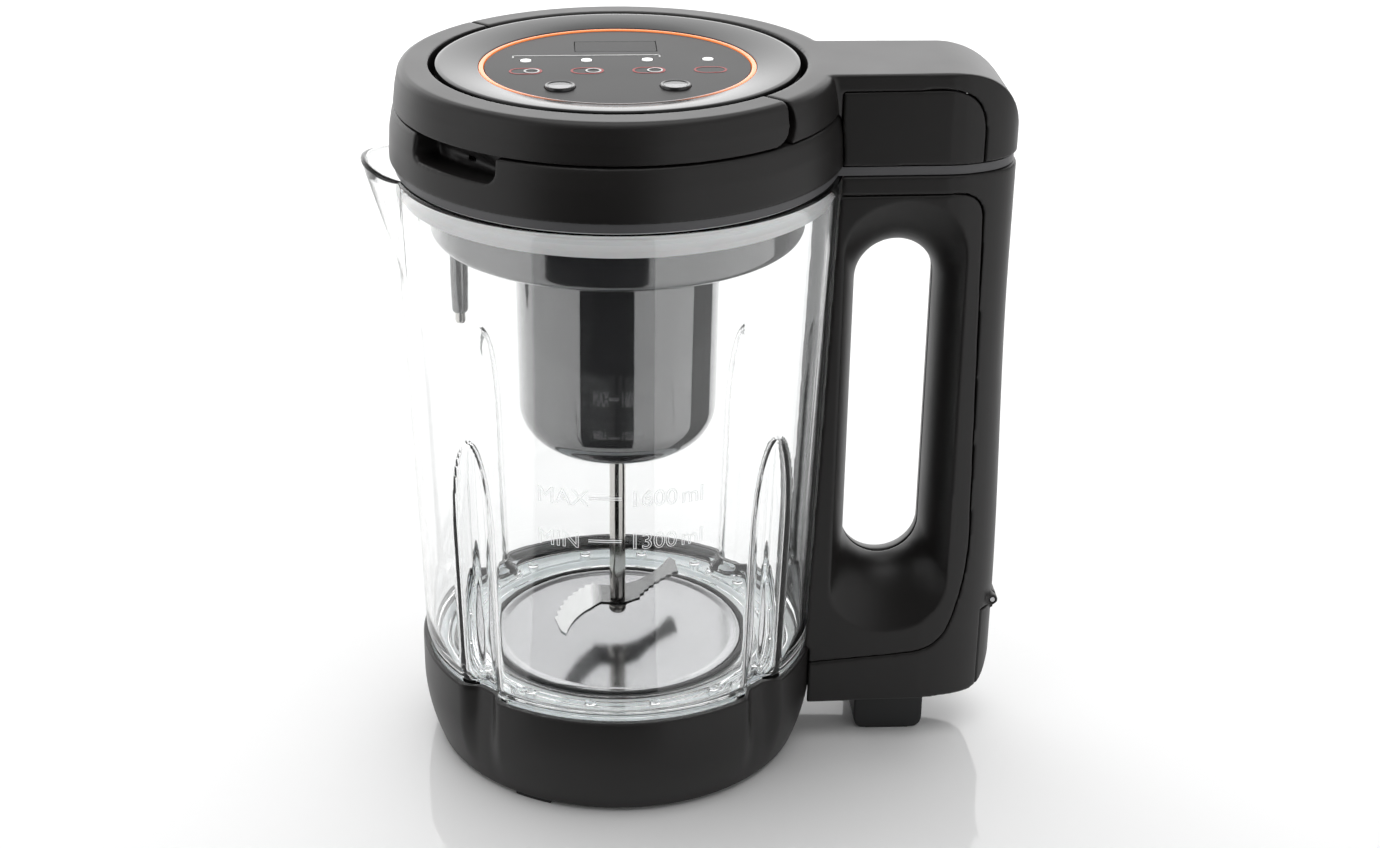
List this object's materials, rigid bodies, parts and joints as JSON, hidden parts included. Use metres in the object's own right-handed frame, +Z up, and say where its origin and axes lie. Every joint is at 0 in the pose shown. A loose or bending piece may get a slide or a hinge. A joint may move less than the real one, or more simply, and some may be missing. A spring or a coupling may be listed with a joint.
{
  "type": "electric soup maker",
  "caption": "Countertop soup maker: clear jug on a heated base with a side handle, and a lid holding motor, blade, control panel and swing-up carry bail.",
  "frame": {"origin": "on the table under the middle of the overall box", "axes": "+Z up, +X from the spout to the handle, -Y the side with the control panel's front"},
  "size_m": [0.2454, 0.1668, 0.2741],
  "materials": {
    "black_plastic": "satin moulded black plastic",
    "panel_black": "satin charcoal control film",
    "gloss_black": "polished black plastic",
    "cup_grey": "polished dark grey plastic",
    "grey_plastic": "satin dark grey plastic",
    "clear_plastic": "clear heat-proof plastic",
    "silicone": "milky translucent silicone",
    "rubber": "matte black rubber",
    "steel": "brushed stainless steel",
    "copper": "wound copper",
    "light_orange": "orange light guide",
    "lamp_white": "white lamp lens",
    "circuit_board": "green circuit board"
  },
  "bodies": {
    "jug_and_base": {"jug": "clear_plastic", "base_shell": "black_plastic", "base_cover": "black_plastic", "base_foot_1": "rubber", "base_foot_2": "rubber", "base_screw_1": "steel", "base_screw_2": "steel", "base_screw_3": "steel", "heating_plate": "steel", "plate_gasket": "rubber", "clamp_ring": "steel", "heating_element": "steel", "thermostat": "grey_plastic", "temperature_sensor": "steel", "handle_frame": "black_plastic", "handle_cheek_left": "black_plastic", "handle_cheek_right": "black_plastic", "handle_foot": "rubber", "contact_socket": "grey_plastic", "inlet_socket": "grey_plastic", "inlet_hinge_pin": "steel", "wiring_loom": "rubber"},
    "lid": {"lid_housing": "black_plastic", "bail_pin_left": "steel", "bail_pin_right": "steel", "lid_rear_cover": "black_plastic", "bridge_cheek_left": "black_plastic", "bridge_cheek_right": "black_plastic", "lid_trim": "grey_plastic", "contact_plug": "grey_plastic", "lid_plug": "grey_plastic", "lid_seal": "silicone", "motor_cup": "cup_grey", "shaft_seal": "rubber", "lower_bearing": "steel", "stator": "steel", "motor_end_plate": "grey_plastic", "upper_bearing": "steel", "sensor_sleeve": "grey_plastic", "sensor_probe": "steel", "control_panel": "panel_black", "display_window": "gloss_black", "indicator_light_1": "lamp_white", "indicator_light_2": "lamp_white", "indicator_light_3": "lamp_white", "indicator_light_4": "lamp_white", "control_board": "circuit_board", "light_ring": "light_orange", "lid_bezel": "gloss_black"},
    "bail": {"carry_bail": "black_plastic"},
    "blade_rotor": {"drive_shaft": "steel", "armature": "copper", "commutator": "copper", "cooling_fan": "grey_plastic", "blade": "steel", "blade_nut": "steel"},
    "mode_button_cap": {"mode_button": "gloss_black"},
    "start_button_cap": {"start_button": "gloss_black"},
    "inlet_flap": {"inlet_cover": "black_plastic"}
  },
  "joints": [
    {"name": "lid_lift", "type": "slide", "parent": "jug_and_base", "child": "lid", "axis": [0, 0, 1], "range_m": [0, 0.25]},
    {"name": "bail_swing", "type": "hinge", "parent": "lid", "child": "bail", "pos_m": [-0.03332, -0.00502, 0.267], "axis": [-0.7071, 0.7071, 0], "range_deg": [0, 90]},
    {"name": "blade_spin", "type": "hinge", "parent": "lid", "child": "blade_rotor", "pos_m": [-0.0283, 0, 0.15], "axis": [0, 0, 1], "continuous": true},
    {"name": "mode_press", "type": "slide", "parent": "lid", "child": "mode_button_cap", "axis": [0, 0, -1], "range_m": [0, 0.0008], "stiffness_N_per_m": 400},
    {"name": "start_press", "type": "slide", "parent": "lid", "child": "start_button_cap", "axis": [0, 0, -1], "range_m": [0, 0.0008], "stiffness_N_per_m": 400},
    {"name": "inlet_flap_swing", "type": "hinge", "parent": "jug_and_base", "child": "inlet_flap", "pos_m": [0.1205, 0, 0.056], "axis": [0, -1, 0], "range_deg": [0, 100]}
  ]
}
